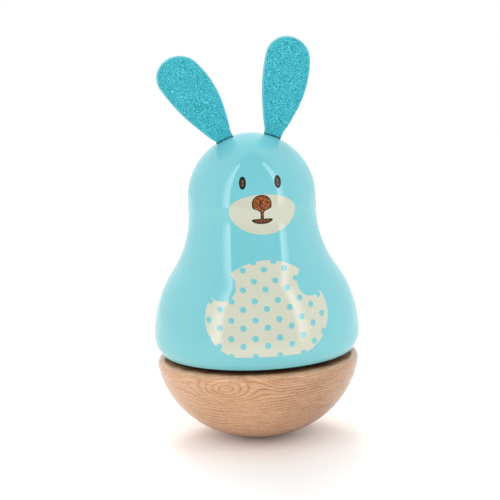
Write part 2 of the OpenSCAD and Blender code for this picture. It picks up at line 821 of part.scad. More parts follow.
module bed_outline() {
    corner_x = [-bed_back_x, movement_reach];
    corner_y = [-bed_comb_y, bed_fly_y];
    intersection() {
        circle(r = movement_reach + cavity_gap / 2);
        union() {
            translate([corner_x[0] + bed_round, corner_y[0]])
                square([corner_x[1] - corner_x[0], corner_y[1] - corner_y[0]]);
            translate([corner_x[0], corner_y[0] + bed_round])
                square([corner_x[1] - corner_x[0], corner_y[1] - corner_y[0] - 2 * bed_round]);
            for (y = [corner_y[0] + bed_round, corner_y[1] - bed_round])
                translate([corner_x[0] + bed_round, y]) circle(r = bed_round);
        }
    }
}

module machine_hole(depth) {
    cylinder(r = machine_shank_r + fit, h = depth);
}

module bedplate() {
    color("silver") difference() {
        union() {
            translate([0, 0, bed_z]) linear_extrude(bed_t) bed_outline();
            translate([0, 0, bed_top - bed_t / 2]) linear_extrude(comb_z - bed_top + bed_t / 2) comb_back();
        }
        translate([0, 0, bed_z - eps]) cylinder(r = bush_r + fit, h = bed_t + 2 * eps);
        at_points(concat(movement_screw_at, bracket_screw_at, governor_screw_at, leg_screw_at), bed_z - eps)
            machine_hole(bed_t + 2 * eps);
        for (x = comb_screw_x)
            translate([x, comb_screw_y, comb_z - screw_bite - fit]) machine_hole(screw_bite + eps);
    }
}

module arbor_bush() {
    color("goldenrod") difference() {
        union() {
            translate([0, 0, plate_z + bush_foot]) cylinder(r = bush_r, h = bush_top - plate_z - bush_foot);
            translate([0, 0, bed_top]) cylinder(r = bush_flange_r, h = bush_flange_t);
        }
        translate([0, 0, plate_z]) cylinder(r = arbor_r + fit, h = plate_t * 3);
    }
}

module spring_drum() {
    arm_t = drum_wall * 1.25;
    color("silver") difference() {
        union() {
            translate([0, 0, drum_z]) cylinder(r = drum_r, h = drum_top - drum_z);
            for (a = leg_at)
                rotate(a) {
                    translate([drum_r / 2, -leg_half_w, drum_top - arm_t])
                        cube([leg_r + leg_half_t - drum_r / 2, 2 * leg_half_w, arm_t]);
                    translate([leg_r - leg_half_t, -leg_half_w, bed_top])
                        cube([2 * leg_half_t, 2 * leg_half_w, drum_top - bed_top]);
                }
        }
        translate([0, 0, drum_z - eps])
            cylinder(r = drum_r - drum_wall, h = drum_top - drum_wall - drum_z + eps);
        translate([0, 0, drum_z]) cylinder(r = arbor_r + fit, h = drum_top);
        at_points(leg_screw_at, bed_top - eps) machine_hole(screw_bite + eps + fit);
    }
}

module drum_screws() {
    color("silver") at_points(leg_screw_at, bed_z) mirror([0, 0, 1])
        cheese_screw(bed_t + screw_bite, machine_shank_r, machine_head_r, machine_head_h);
}

// A flat strip wound from the arbor out to the drum's wall
module mainspring() {
    steps = spring_coils * 24;
    function coil(i) = spring_in_r + (spring_out_r - spring_in_r) * i / steps;
    inside = [for (i = [0 : steps]) polar(coil(i), i * 15)];
    outside = [for (i = [steps : -1 : 0]) polar(coil(i) + spring_t, i * 15)];
    color("slategray") translate([0, 0, spring_z]) linear_extrude(spring_h)
        polygon(concat(inside, outside));
}

module arbor_hole() {
    translate([0, 0, -eps]) cylinder(r = cyl_arbor_r + fit, h = bracket_t + 2 * eps);
}

module cylinder_bracket_left() {
    color("silver") difference() {
        union() {
            translate([bracket_left_x, -bracket_half_w, bed_top])
                cube([bracket_t, 2 * bracket_half_w, bracket_top - bed_top]);
            translate([bracket_left_x, side_foot_y - side_foot_d, bed_top])
                cube([bracket_t, side_foot_d - side_foot_y, foot_t * 3]);
            translate([bracket_left_x, side_foot_y - side_foot_d, bed_top])
                cube([train_x + foot_l - bracket_left_x, side_foot_d, foot_t]);
        }
        along_x(bracket_left_x) arbor_hole();
        at_points([bracket_screw_at[0]], bed_top - eps) machine_hole(foot_t + 2 * eps);
    }
}

module cylinder_bracket_right() {
    color("silver") difference() {
        union() {
            translate([bracket_right_x, -bracket_half_w, bed_top])
                cube([bracket_t, 2 * bracket_half_w, bracket_top - bed_top]);
            translate([bracket_right_x, -bracket_half_w, bed_top])
                cube([bracket_t + foot_l, 2 * bracket_half_w, foot_t]);
        }
        along_x(bracket_right_x) arbor_hole();
        at_points([bracket_screw_at[1]], bed_top - eps) machine_hole(foot_t + 2 * eps);
    }
}

module bracket_screws() {
    color("silver") at_points(bracket_screw_at, bed_top + foot_t)
        cheese_screw(foot_t + bed_t, machine_shank_r, machine_head_r, machine_head_h);
}

// The back of the comb, and the ledge under it
module comb_back() {
    x1 = comb_x + comb_w;
    front = comb_back_y + comb_ledge_d;
    polygon([
        [comb_x, comb_back_y], [x1 - comb_corner, comb_back_y], [x1, comb_back_y + comb_corner],
        [x1, front], [comb_x, front]
    ]);
}

function tooth_l(i) = bass_l + (treble_l - bass_l) * i / (note_count - 1);

module comb() {
    x1 = comb_x + comb_w;
    front = comb_back_y + comb_ledge_d - eps;
    slot = note_pitch - tooth_w;
    color("lightgray") translate([0, 0, comb_z]) linear_extrude(comb_t) difference() {
        union() {
            comb_back();
            translate([comb_x, front]) square([comb_w, comb_tip_y - front]);
        }
        for (i = [0 : note_count - 2])
            translate([comb_x + tooth_w + i * note_pitch, comb_tip_y - tooth_l(i)])
                square([slot, tooth_l(i) + eps]);
        for (x = comb_screw_x)
            translate([x, comb_screw_y]) circle(r = machine_shank_r + fit);
    }
}

// Lead under the bass teeth, largest under the lowest note
module comb_weights() {
    color("gray") for (i = [0 : weight_count - 1])
        let (h = weight_h * (1 - i / (weight_count + 2)))
            translate([comb_x + i * note_pitch, comb_tip_y - weight_tip - weight_l, comb_z - h])
                cube([tooth_w, weight_l, h]);
}

module comb_screws() {
    color("steelblue") for (x = comb_screw_x)
        translate([x, comb_screw_y, comb_z + comb_t])
            cheese_screw(comb_t + screw_bite, machine_shank_r, machine_head_r, machine_head_h);
}

module governor_bracket() {
    cheek_top = cyl_z + governor_arbor_r + cheek_land;
    color("silver") difference() {
        union() {
            translate([cheek_left_x, cheek_y0, bed_top])
                cube([governor_foot_x - cheek_left_x, upright_y + upright_t - cheek_y0, foot_t]);
            for (x = [cheek_left_x, cheek_right_x])
                translate([x, cheek_y0, bed_top]) cube([cheek_t, cheek_y1 - cheek_y0, cheek_top - bed_top]);
            translate([fly_x, fly_y, bed_top])
                cylinder(r = fly_pivot_r + fly_boss_wall, h = foot_t + fly_boss_h);
            translate([fly_x - upright_half_w, upright_y, bed_top])
                cube([2 * upright_half_w, upright_t, governor_top - bed_top]);
            translate([fly_x - arm_half_w, fly_y, governor_top - fly_pivot_l])
                cube([2 * arm_half_w, upright_y + upright_t - fly_y, fly_pivot_l]);
            translate([fly_x, fly_y, governor_top - fly_pivot_l]) cylinder(r = arm_half_w, h = fly_pivot_l);
        }
        along_x(cheek_left_x - eps, governor_y)
            cylinder(r = governor_arbor_r + fit, h = cheek_right_x + cheek_t - cheek_left_x + 2 * eps);
        translate([fly_x, fly_y, bed_top + foot_t + fly_boss_h - fly_pivot_l - fit])
            cylinder(r = fly_pivot_r + fit, h = governor_top);
        at_points(governor_screw_at, bed_top - eps) machine_hole(foot_t + 2 * eps);
    }
}

module governor_screws() {
    color("silver") at_points(governor_screw_at, bed_top + foot_t)
        cheese_screw(foot_t + bed_t, machine_shank_r, machine_head_r, machine_head_h);
}

// Pins along each track, spaced by a rule so that neighbouring notes differ
module note_cylinder() {
    color("goldenrod") along_x(cyl_x) difference() {
        union() {
            cylinder(r = cyl_r, h = cyl_l);
            for (i = [0 : note_count - 1])
                let (count = 3 + (i * 7) % 4)
                    for (k = [0 : count - 1])
                        rotate(i * 47 + k * 360 / count + (k * i * 13) % 24)
                            translate([cyl_r - eps, 0, cyl_end + (i + 0.5) * note_pitch]) rotate([0, 90, 0])
                                cylinder(r = pin_r, h = pin_h + eps, $fn = 16);
        }
        translate([0, 0, -eps]) cylinder(r = cyl_arbor_r + fit, h = cyl_l + 2 * eps);
    }
}

module cylinder_arbor() {
    arbor_x = pinion_x - end_gap;
    color("silver") along_x(arbor_x)
        cylinder(r = cyl_arbor_r, h = bracket_right_x + bracket_t + wheel_gap - arbor_x);
}

module cylinder_pinion() {
    color("goldenrod") along_x(pinion_x)
        gear(pinion_teeth, great_module, pinion_face, cyl_arbor_r + fit, turn = -90);
}

module cylinder_gear() {
    color("goldenrod") along_x(train_x) gear(train_teeth, train_module, train_t, cyl_arbor_r + fit);
}

module governor_arbor() {
    color("silver") along_x(cheek_left_x - pivot_end, governor_y)
        cylinder(r = governor_arbor_r, h = cheek_right_x + cheek_t - cheek_left_x + 2 * pivot_end);
}

module governor_pinion() {
    half_tooth = 180 / governor_teeth;
    color("goldenrod") along_x(train_x - pinion_end, governor_y)
        gear(governor_teeth, train_module, governor_face, governor_arbor_r + fit, turn = 180 + half_tooth);
}

module worm_wheel() {
    color("ivory") along_x(worm_wheel_x, governor_y)
        gear(worm_wheel_teeth, worm_module, worm_wheel_t, governor_arbor_r + fit);
}

// One right-hand thread, with its hollow facing a tooth of the worm wheel
module worm() {
    sides = 16;
    thread = [
        for (i = [0 : sides - 1])
            let (a = (i - sides / 2) * 360 / sides)
                polar(thread_r(a), a)
    ];
    turns = worm_l / worm_pitch;
    boss_z = bed_top + foot_t + fly_boss_h;
    color("silver") translate([fly_x, fly_y, 0]) {
        translate([0, 0, cyl_z - worm_l / 2]) rotate(90 - 180 * turns)
            linear_extrude(worm_l, twist = -360 * turns, slices = ceil(turns * 12), segments = sides)
                polygon(thread);
        translate([0, 0, boss_z + fit]) cylinder(r = fly_shaft_r, h = cyl_z - worm_l / 2 - boss_z + eps);
        translate([0, 0, boss_z - fly_pivot_l]) cylinder(r = fly_pivot_r, h = fly_pivot_l + eps);
        translate([0, 0, cyl_z + worm_l / 2 - eps])
            cylinder(r = fly_shaft_r, h = fly_top - cyl_z - worm_l / 2 + eps);
        translate([0, 0, fly_top - eps]) cylinder(r = fly_pivot_r, h = governor_top - fly_top + eps);
    }
}

// Two blades on a hub that brake in the air
module fly_vane() {
    vane_hub_r = fly_shaft_r + vane_hub_wall;
    color("ivory") translate([fly_x, fly_y, vane_z]) difference() {
        union() {
            cylinder(r = vane_hub_r, h = vane_h);
            translate([-vane_r, -vane_t / 2, 0]) cube([2 * vane_r, vane_t, vane_h]);
        }
        translate([0, 0, -eps]) cylinder(r = fly_shaft_r + fit, h = vane_h + 2 * eps);
    }
}

rocker_base();
ballast_weight();
ballast_screw();
base_cover();
base_cover_screws();
drive_flange();
drive_flange_screws();
grub_screw();
thrust_washer();
winding_arbor();
ratchet_wheel();
great_wheel();
click();
click_pin();
click_spring();
arbor_clip();
rabbit_body();
ear_left();
ear_right();
bottom_plate();
bottom_plate_screws();
bedplate();
movement_screws();
arbor_bush();
spring_drum();
drum_screws();
mainspring();
cylinder_bracket_left();
cylinder_bracket_right();
bracket_screws();
comb();
comb_weights();
comb_screws();
governor_bracket();
governor_screws();
note_cylinder();
cylinder_arbor();
cylinder_pinion();
cylinder_gear();
governor_arbor();
governor_pinion();
worm_wheel();
worm();
fly_vane();
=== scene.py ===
"""Looks of the wooden rabbit music box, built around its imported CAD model."""

import json
import math

import bpy
import numpy as np
from mathutils import Matrix, Vector, noise
from mathutils.geometry import delaunay_2d_cdt


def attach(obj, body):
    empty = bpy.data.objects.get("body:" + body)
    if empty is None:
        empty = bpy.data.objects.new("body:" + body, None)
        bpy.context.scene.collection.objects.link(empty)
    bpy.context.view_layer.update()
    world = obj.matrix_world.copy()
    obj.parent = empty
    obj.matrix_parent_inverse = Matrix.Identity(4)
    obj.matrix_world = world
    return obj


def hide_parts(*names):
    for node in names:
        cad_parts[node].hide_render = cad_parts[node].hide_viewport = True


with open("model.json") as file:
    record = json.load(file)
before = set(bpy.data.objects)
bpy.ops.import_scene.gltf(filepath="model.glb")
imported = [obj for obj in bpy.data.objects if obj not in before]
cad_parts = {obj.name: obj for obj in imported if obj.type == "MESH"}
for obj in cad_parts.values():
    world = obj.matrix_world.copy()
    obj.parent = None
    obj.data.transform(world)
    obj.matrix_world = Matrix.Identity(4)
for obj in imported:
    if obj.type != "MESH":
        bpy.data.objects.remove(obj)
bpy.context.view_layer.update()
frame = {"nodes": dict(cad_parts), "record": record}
nodes = frame["nodes"]

# Sizes of the object are in millimetres, as in the part's source, and those of the stage in metres
MM = 0.001

# Body profile: lower arc, belly arc, hollow neck arc, straight neck and round head
BODY_Z = 43
BELLY_R = 50.6
BELLY_DROP = 8.7
BELLY_LOW_R = 12.5
BELLY_ARC_R = 54.7
NECK_ARC_R = 51.5
NECK_L = 6.5
HEAD_R = 31.6
BELLY_Z = BODY_Z + BELLY_DROP
LOWER_C = BELLY_R - BELLY_LOW_R
BELLY_C = BELLY_R - BELLY_ARC_R
NECK_C = HEAD_R + NECK_ARC_R
SWEEP = math.acos(1 - (BELLY_R - HEAD_R) / (NECK_ARC_R + BELLY_ARC_R))
FLARE_Z = BELLY_Z + BELLY_ARC_R * math.sin(SWEEP)
NECK_Z = BELLY_Z + (NECK_ARC_R + BELLY_ARC_R) * math.sin(SWEEP)
HEAD_Z = NECK_Z + NECK_L


def profile(z):
    """Radius of the body at a height, and its outward normal in the profile's plane."""
    if z < BELLY_Z:
        r = LOWER_C + math.sqrt(BELLY_LOW_R**2 - (z - BELLY_Z) ** 2)
        return r, (r - LOWER_C) / BELLY_LOW_R, (z - BELLY_Z) / BELLY_LOW_R
    if z < FLARE_Z:
        r = BELLY_C + math.sqrt(BELLY_ARC_R**2 - (z - BELLY_Z) ** 2)
        return r, (r - BELLY_C) / BELLY_ARC_R, (z - BELLY_Z) / BELLY_ARC_R
    if z < NECK_Z:
        r = NECK_C - math.sqrt(NECK_ARC_R**2 - (NECK_Z - z) ** 2)
        return r, (NECK_C - r) / NECK_ARC_R, (NECK_Z - z) / NECK_ARC_R
    if z < HEAD_Z:
        return HEAD_R, 1.0, 0.0
    r = math.sqrt(HEAD_R**2 - (z - HEAD_Z) ** 2)
    return r, r / HEAD_R, (z - HEAD_Z) / HEAD_R


def on_body(x, z, lift):
    """The point of the body's front at a place seen from straight ahead, lifted off the surface."""
    r, out, up = profile(z)
    y = -math.sqrt(r * r - x * x)
    grow = 1 + lift * out / r
    return Vector((x * grow, y * grow, z + lift * up))


# Meshes


def make_object(name, points, faces, sharp_angle):
    """A smooth mesh object from points in millimetres, with hard edges from an angle on."""
    mesh = bpy.data.meshes.new(name)
    mesh.from_pydata([Vector(p) * MM for p in points], [], faces)
    mesh.validate()
    mesh.shade_smooth()
    mesh.set_sharp_from_angle(angle=math.radians(sharp_angle))
    obj = bpy.data.objects.new(name, mesh)
    bpy.context.scene.collection.objects.link(obj)
    return obj


def keep(obj, name, distances):
    """Keeps a distance for each point on the mesh, for the material."""
    attribute = obj.data.attributes.new(name, "FLOAT", "POINT")
    attribute.data.foreach_set("value", np.array(distances, np.float32))
    return obj


# Outlines, as points seen from straight ahead, and how near points count as one
NEAR = 1e-5


def arc(centre, r, start, end, step=4):
    """Points of a circle's arc between two angles in degrees."""
    count = max(2, round(abs(end - start) / step))
    angles = [math.radians(start + (end - start) * i / count) for i in range(count + 1)]
    return [(centre[0] + r * math.cos(a), centre[1] + r * math.sin(a)) for a in angles]


def ellipse(centre, half_w, top, bottom, tilt, count):
    """Points of an egg: two half ellipses of one width."""
    points = []
    c, s = math.cos(math.radians(tilt)), math.sin(math.radians(tilt))
    for i in range(count):
        a = 2 * math.pi * i / count
        x = half_w * math.cos(a)
        z = (top if math.sin(a) > 0 else bottom) * math.sin(a)
        points.append((centre[0] + x * c - z * s, centre[1] + x * s + z * c))
    return points


def bezier(a, b, c, d, count=12):
    """Points of a cubic curve after its first point."""
    points = []
    for i in range(1, count + 1):
        t = i / count
        u = 1 - t
        weights = (u**3, 3 * u * u * t, 3 * u * t * t, t**3)
        points.append(tuple(sum(w * p[k] for w, p in zip(weights, (a, b, c, d))) for k in (0, 1)))
    return points


def angle_to(centre, point):
    """Direction in degrees from a centre to a point."""
    return math.degrees(math.atan2(point[1] - centre[1], point[0] - centre[0]))


def mirrored(half):
    """A closed outline from its right half, which starts at the top and ends at the bottom."""
    return half + [(-x, z) for x, z in reversed(half) if abs(x) > NEAR]


def inside(points, polygon):
    """Which points lie in a polygon, by counting crossings."""
    poly = np.array(polygon)
    nxt = np.roll(poly, -1, axis=0)
    x, z = points[:, 0:1], points[:, 1:2]
    crosses = (poly[:, 1] > z) != (nxt[:, 1] > z)
    rise = nxt[:, 1] - poly[:, 1]
    rise[rise == 0] = np.inf
    at = poly[:, 0] + (z - poly[:, 1]) / rise * (nxt[:, 0] - poly[:, 0])
    return (crosses & (x < at)).sum(axis=1) % 2 == 1


def edge_distance(points, loops):
    """Distance from each point to the nearest point of the outlines."""
    rim = np.array([p for loop in loops for p in loop])
    return np.sqrt(((points[:, None, :] - rim[None, :, :]) ** 2).sum(axis=2)).min(axis=1)


# Tummy print: a dome, two round bites and two lobes over a flat bottom
DOME_TOP = 93.9
DOME_R = 27.4
DOME_CORNER = 17.0
BITE_C = (21.8, 83.0)
BITE_R = 6.9
LOBE_C = (11.8, 67.4)
LOBE_R = 17.8
TUMMY_BOTTOM = 50.2
TUMMY_UPRIGHT_Z = 82
TUMMY_LEAN = 0.036


def tummy_outline():
    """The tummy print's outline, which leans a little to one side."""
    dome_c = (0, DOME_TOP - DOME_R)
    corner = (DOME_CORNER, dome_c[1] + math.sqrt(DOME_R**2 - DOME_CORNER**2))
    apart = math.dist(BITE_C, LOBE_C)
    along = (apart**2 + LOBE_R**2 - BITE_R**2) / (2 * apart)
    swing = math.degrees(math.acos(along / LOBE_R))
    tip_angle = angle_to(LOBE_C, BITE_C) - swing
    lobe = arc(LOBE_C, LOBE_R, tip_angle, -90)
    half = arc(dome_c, DOME_R, 90, angle_to(dome_c, corner))
    half += arc(BITE_C, BITE_R, angle_to(BITE_C, corner), 360 + angle_to(BITE_C, lobe[0]))
    half += lobe[1:] + [(0, LOBE_C[1] - LOBE_R)]
    half = [(x, max(z, TUMMY_BOTTOM)) for x, z in half]
    return [(x + TUMMY_LEAN * (z - TUMMY_UPRIGHT_Z), z) for x, z in mirrored(half)]


# Dots: staggered rows of round gaps in the tummy print
DOT_R = 1.5
DOT_STEP = 15
DOT_PITCH = 11.8
DOT_ROW = 8.55
DOT_DROP = 4.95
DOT_SHIFT = -0.5
DOT_FIRST = (-1.05, 89.7)
DOT_ROWS = range(-1, 6)
DOT_COLUMNS = range(-3, 4)


def dot_outlines(outline):
    """Round dots on the surface inside an outline or across it, narrower from the front at the sides."""
    dots = []
    ring = arc((0, 0), DOT_R, 0, 360 - DOT_STEP, DOT_STEP)
    for row in DOT_ROWS:
        for odd in (0, 1):
            z = DOT_FIRST[1] - DOT_ROW * row - DOT_DROP * odd
            r, out, _ = profile(z)
            middle = (DOT_FIRST[0] + TUMMY_LEAN * (z - TUMMY_UPRIGHT_Z)) / r
            pitch = DOT_PITCH / math.sqrt(r * BELLY_R)
            for column in DOT_COLUMNS:
                turn = middle + pitch * (column + DOT_SHIFT * odd)
                dot = [(r * math.sin(turn) + px * math.cos(turn), z + pz * out) for px, pz in ring]
                if inside(np.array(dot), outline).any():
                    dots.append(dot)
    return dots


# Face: muzzle and eyes, each eye with its place and tilt
MUZZLE_C = (0.85, 117.4)
MUZZLE_HALF_W = 16.1
MUZZLE_TOP = 7.8
MUZZLE_BOTTOM = 11.6
MUZZLE_TILT = -1.2
MUZZLE_COUNT = 72
EYES = {"eye_left": (-8.2, 130.7, -7), "eye_right": (8.8, 130.4, 0)}
EYE_HALF_W = 1.6
EYE_HALF_H = 2.95
EYE_COUNT = 40

# Face: nose, stem and mouth
NOSE_X = 0.25
NOSE_Z = 120.9
NOSE_HALF_W = 4.75
NOSE_TOP = 4.05
NOSE_COUNT = 16
NOSE_CORNER = (3.9, 118.3)
STEM_HALF_W = 0.8
STEM_TOP_Z = 116.2
LIP_Z = 113.5
LIP_HALF_W = 5.2
LIP_END = 0.6
LIP_BOTTOM_Z = 110.95
LIP_COUNT = 8

# Handles of the curves: nose's side, into and out of its corner, into the stem, and the lip's underside
SIDE_PULL = 1.6
CORNER_PULL = 0.3
UNDER_PULL = (1.4, 0.6)
STEM_PULL = 1
LIP_PULL = (0.7, 0.4)
LIP_ROUND = 0.4


def nose_outline():
    """A broad cap that narrows to a stem, and the mouth under it."""
    half = [(NOSE_HALF_W * math.sin(a), NOSE_Z + NOSE_TOP * math.cos(a))
            for a in np.linspace(0, math.pi / 2, NOSE_COUNT)]
    corner_x, corner_z = NOSE_CORNER
    stem_top = (STEM_HALF_W, STEM_TOP_Z)
    stem_end = (STEM_HALF_W, LIP_Z)
    lip_middle = (LIP_HALF_W / 2, LIP_Z)
    lip_top = (LIP_HALF_W - LIP_END, LIP_Z - LIP_END / 4)
    lip_under = (LIP_HALF_W - LIP_END, lip_top[1] - 2 * LIP_END)
    lip_bottom = (0, LIP_BOTTOM_Z)
    half += bezier(half[-1], (NOSE_HALF_W, NOSE_Z - SIDE_PULL), (NOSE_HALF_W, corner_z + CORNER_PULL),
                   NOSE_CORNER)
    half += bezier(NOSE_CORNER, (corner_x - UNDER_PULL[0], corner_z - UNDER_PULL[1]),
                   (STEM_HALF_W, STEM_TOP_Z + STEM_PULL), stem_top)
    half += [(STEM_HALF_W, (STEM_TOP_Z + LIP_Z) / 2), stem_end]
    half += bezier(stem_end, lip_middle, lip_middle, lip_top)
    half += bezier(lip_top, (LIP_HALF_W, lip_top[1]), (LIP_HALF_W, lip_under[1] + LIP_END / 2),
                   lip_under, LIP_COUNT)
    half += bezier(lip_under, (LIP_HALF_W * LIP_PULL[0], LIP_BOTTOM_Z + LIP_ROUND),
                   (LIP_HALF_W * LIP_PULL[1], LIP_BOTTOM_Z), lip_bottom)
    return [(x + NOSE_X, z) for x, z in mirrored(half)]


# Printed layers: how far prints and burnt marks stand proud and reach in, and their meshes' steps
PRINT_LIFT = 0.06
BURN_LIFT = 0.03
PRINT_DEPTH = 0.25
PRINT_STEP = 0.9
NOSE_STEP = 0.35
EYE_STEP = 0.3
PRINT_SHARP = 40


def inlay(name, outline, holes=(), lift=PRINT_LIFT, step=PRINT_STEP):
    """A thin closed layer on the body's surface, cut to an outline with holes."""
    loops = [outline, *holes]
    box = np.array(outline)
    low, high = box.min(axis=0), box.max(axis=0)
    columns, rows = np.arange(low[0], high[0], step), np.arange(low[1], high[1], step)
    grid = np.array([(x, z) for x in columns for z in rows])
    grid = grid[inside(grid, outline) & (edge_distance(grid, loops) > step / 2)]
    points, edges = [], []
    for loop in loops:
        first = len(points)
        points += [Vector(p) for p in loop]
        edges += [(first + i, first + (i + 1) % len(loop)) for i in range(len(loop))]
    points += [Vector(p) for p in grid]
    flat, _, faces, *_ = delaunay_2d_cdt(points, edges, [], 0, NEAR)
    flat = np.array([tuple(p) for p in flat])
    middles = np.array([flat[list(f)].mean(axis=0) for f in faces])
    kept = inside(middles, outline)
    for hole in holes:
        kept &= ~inside(middles, hole)
    faces = [f for f, stays in zip(faces, kept) if stays]
    used = sorted({i for f in faces for i in f})
    place = {old: new for new, old in enumerate(used)}
    flat = flat[used]
    faces = [[place[i] for i in f] for f in faces]
    count = len(flat)
    sides = dict.fromkeys((a, b) for f in faces for a, b in zip(f, f[1:] + f[:1]))
    walls = [(b, a, a + count, b + count) for a, b in sides if (b, a) not in sides]
    solid = [on_body(x, z, lift) for x, z in flat] + [on_body(x, z, -PRINT_DEPTH) for x, z in flat]
    under = [[i + count for i in reversed(f)] for f in faces]
    obj = make_object(name, solid, faces + under + walls, PRINT_SHARP)
    return keep(obj, "rim", np.tile(edge_distance(flat, loops), 2))


# Materials


class Nodes:
    """A node tree, and short ways to add to it."""

    def __init__(self, tree):
        self.tree = tree

    def plug(self, socket, value):
        """Links a socket to another one, or sets its value."""
        if isinstance(value, bpy.types.NodeSocket):
            self.tree.links.new(value, socket)
        elif socket.type == "RGBA":
            socket.default_value = (*value, 1)
        else:
            socket.default_value = value

    def add(self, kind, output=0, inputs=(), **settings):
        """A new node with its settings and inputs, by one of its outputs."""
        made = self.tree.nodes.new("ShaderNode" + kind)
        for name, value in settings.items():
            setattr(made, name, value)
        for key, value in dict(inputs).items():
            self.plug(made.inputs[key], value)
        return made.outputs[output]

    def apart(self, vector):
        """The three numbers of a vector."""
        return self.add("SeparateXYZ", inputs={0: vector}).node.outputs

    def math(self, operation, *values):
        """A sum, product or other result of values."""
        return self.add("Math", inputs=dict(enumerate(values)), operation=operation)

    def spread(self, value, low, high, to_low=0.0, to_high=1.0, kind="SMOOTHSTEP"):
        """A value's range mapped to another."""
        return self.add("MapRange", inputs={0: value, 1: low, 2: high, 3: to_low, 4: to_high},
                        interpolation_type=kind)


class Shader(Nodes):
    """A node material with a principled shader."""

    def __init__(self, name):
        self.material = bpy.data.materials.new(name)
        self.material.use_nodes = True
        super().__init__(self.material.node_tree)
        self.surface = self.tree.nodes["Principled BSDF"]
        self.place = self.add("TexCoord", output="Object")

    def set(self, **values):
        """Plugs values into the surface's inputs, named with _ for a space."""
        for name, value in values.items():
            self.plug(self.surface.inputs[name.replace("_", " ")], value)
        return self

    def scaled(self, sizes):
        """Object coordinates in cells of three sizes in millimetres."""
        return self.add("Mapping", inputs={"Vector": self.place, "Scale": [1 / (s * MM) for s in sizes]})

    def noise(self, size, detail=2.0, rough=0.5):
        """Noise with features of a size in millimetres, one number or one for each axis."""
        sizes = size if hasattr(size, "__len__") else (size,) * 3
        return self.add("TexNoise", inputs={"Vector": self.scaled(sizes), "Scale": 1.0,
                                            "Detail": detail, "Roughness": rough})

    def ramp(self, value, *stops):
        """A colour for a value, from pairs of place and colour."""
        made = self.tree.nodes.new("ShaderNodeValToRGB")
        while len(made.color_ramp.elements) < len(stops):
            made.color_ramp.elements.new(0.5)
        for element, (place, colour) in zip(made.color_ramp.elements, stops):
            element.position = place
            element.color = (*colour, 1)
        self.plug(made.inputs[0], value)
        return made.outputs[0]

    def attribute(self, name):
        """A number kept for each point of the mesh."""
        return self.add("Attribute", output="Fac", attribute_name=name)

    def mix(self, share, a, b, blend="MIX"):
        """A colour between two, by the second one's share."""
        return self.add("Mix", output=2, inputs={0: share, 6: a, 7: b}, data_type="RGBA",
                        blend_type=blend)

    def relief(self, height, depth, strength=1.0):
        """A normal from a height of 0 to 1, with its depth in millimetres."""
        return self.add("Bump", inputs={"Height": height, "Distance": depth * MM, "Strength": strength})


def linear(red, green, blue):
    """A colour from 0 to 255 as seen on screen, as linear light."""
    shown = [c / 255 for c in (red, green, blue)]
    return tuple(c / 12.92 if c < 0.04 else ((c + 0.055) / 1.055) ** 2.4 for c in shown)


def varied(shader, colour, size, amount):
    """A colour that wanders a little lighter and darker."""
    dark = tuple(c * (1 - amount) for c in colour)
    light = tuple(min(1, c * (1 + amount)) for c in colour)
    return shader.ramp(shader.noise(size, 4), (0.3, dark), (0.7, light))


# Lacquer: size of its faint patches, its coat, and its orange peel's size, depth and strength
PATCH = 14
COAT_IOR = 1.65
PEEL = 2.2
PEEL_DEPTH = 0.02
PEEL_SHOWS = 0.25


def lacquer(name, colour, amount, blur):
    """Sprayed gloss lacquer: a coat with a faint orange peel over an even colour."""
    s = Shader(name)
    s.set(Base_Color=varied(s, colour, PATCH, amount), Roughness=0.45, Specular_IOR_Level=0.0)
    s.set(Coat_Weight=1.0, Coat_IOR=COAT_IOR, Coat_Roughness=blur)
    return s.set(Coat_Normal=s.relief(s.noise(PEEL), PEEL_DEPTH, PEEL_SHOWS)).material


# Burnt marks: size of the mottle, size and depth of the relief, and how much deeper the mouth is burnt
MOTTLE = 0.6
CHAR = 0.5
CHAR_DEPTH = 0.05
DEEP_BURN = 0.55
DEEP_FADE = 1


def burnt_wood(name, edge_colour, dark, middle, light, edge_w, deep_z=0):
    """Burnt marks: mottled brown, darkest at the edge of the mark, and burnt deeper below a height."""
    s = Shader(name)
    mottle = s.ramp(s.noise(MOTTLE, 3, 0.6), (0.38, dark), (0.5, middle), (0.63, light))
    _, _, height = s.apart(s.scaled((1, 1, 1)))
    deep = s.spread(height, deep_z - DEEP_FADE, deep_z + DEEP_FADE, DEEP_BURN, 0.0)
    mottle = s.mix(deep, mottle, edge_colour)
    edge = s.spread(s.attribute("rim"), edge_w / 3, edge_w)
    s.set(Base_Color=s.mix(edge, edge_colour, mottle), Roughness=0.5, Specular_IOR_Level=0.3)
    s.set(Coat_Weight=0.35, Coat_Roughness=0.15)
    return s.set(Normal=s.relief(s.noise(CHAR, 3), CHAR_DEPTH)).material


# Felt: size of its fibres, of its blotches and of its nap, the nap's depth, and where the cut edge ends
FIBRE = 0.28
BLOTCH = 6
FELT_NAP = 0.5
FELT_NAP_DEPTH = 0.35
CUT_EDGE = (0.1, 0.9)

# Felt's colours: dark, middle and light fibres, darkest blotch, cut edge, painted shade by the slot, and
# sheen
FIBRE_DARK = linear(0, 100, 118)
FIBRE_MIDDLE = linear(50, 182, 199)
FIBRE_LIGHT = linear(126, 246, 255)
BLOTCH_DARK = (0.94, 0.94, 0.94)
CUT_COLOUR = linear(128, 210, 222)
ROOT_SHADE_COLOUR = linear(14, 88, 102)
SHEEN_COLOUR = linear(190, 240, 246)

# Painted shade where the felt leaves its slot: how far up it reaches, and how uneven its edge is
ROOT_SHADE = 1.4
ROOT_FRAY = 2.4


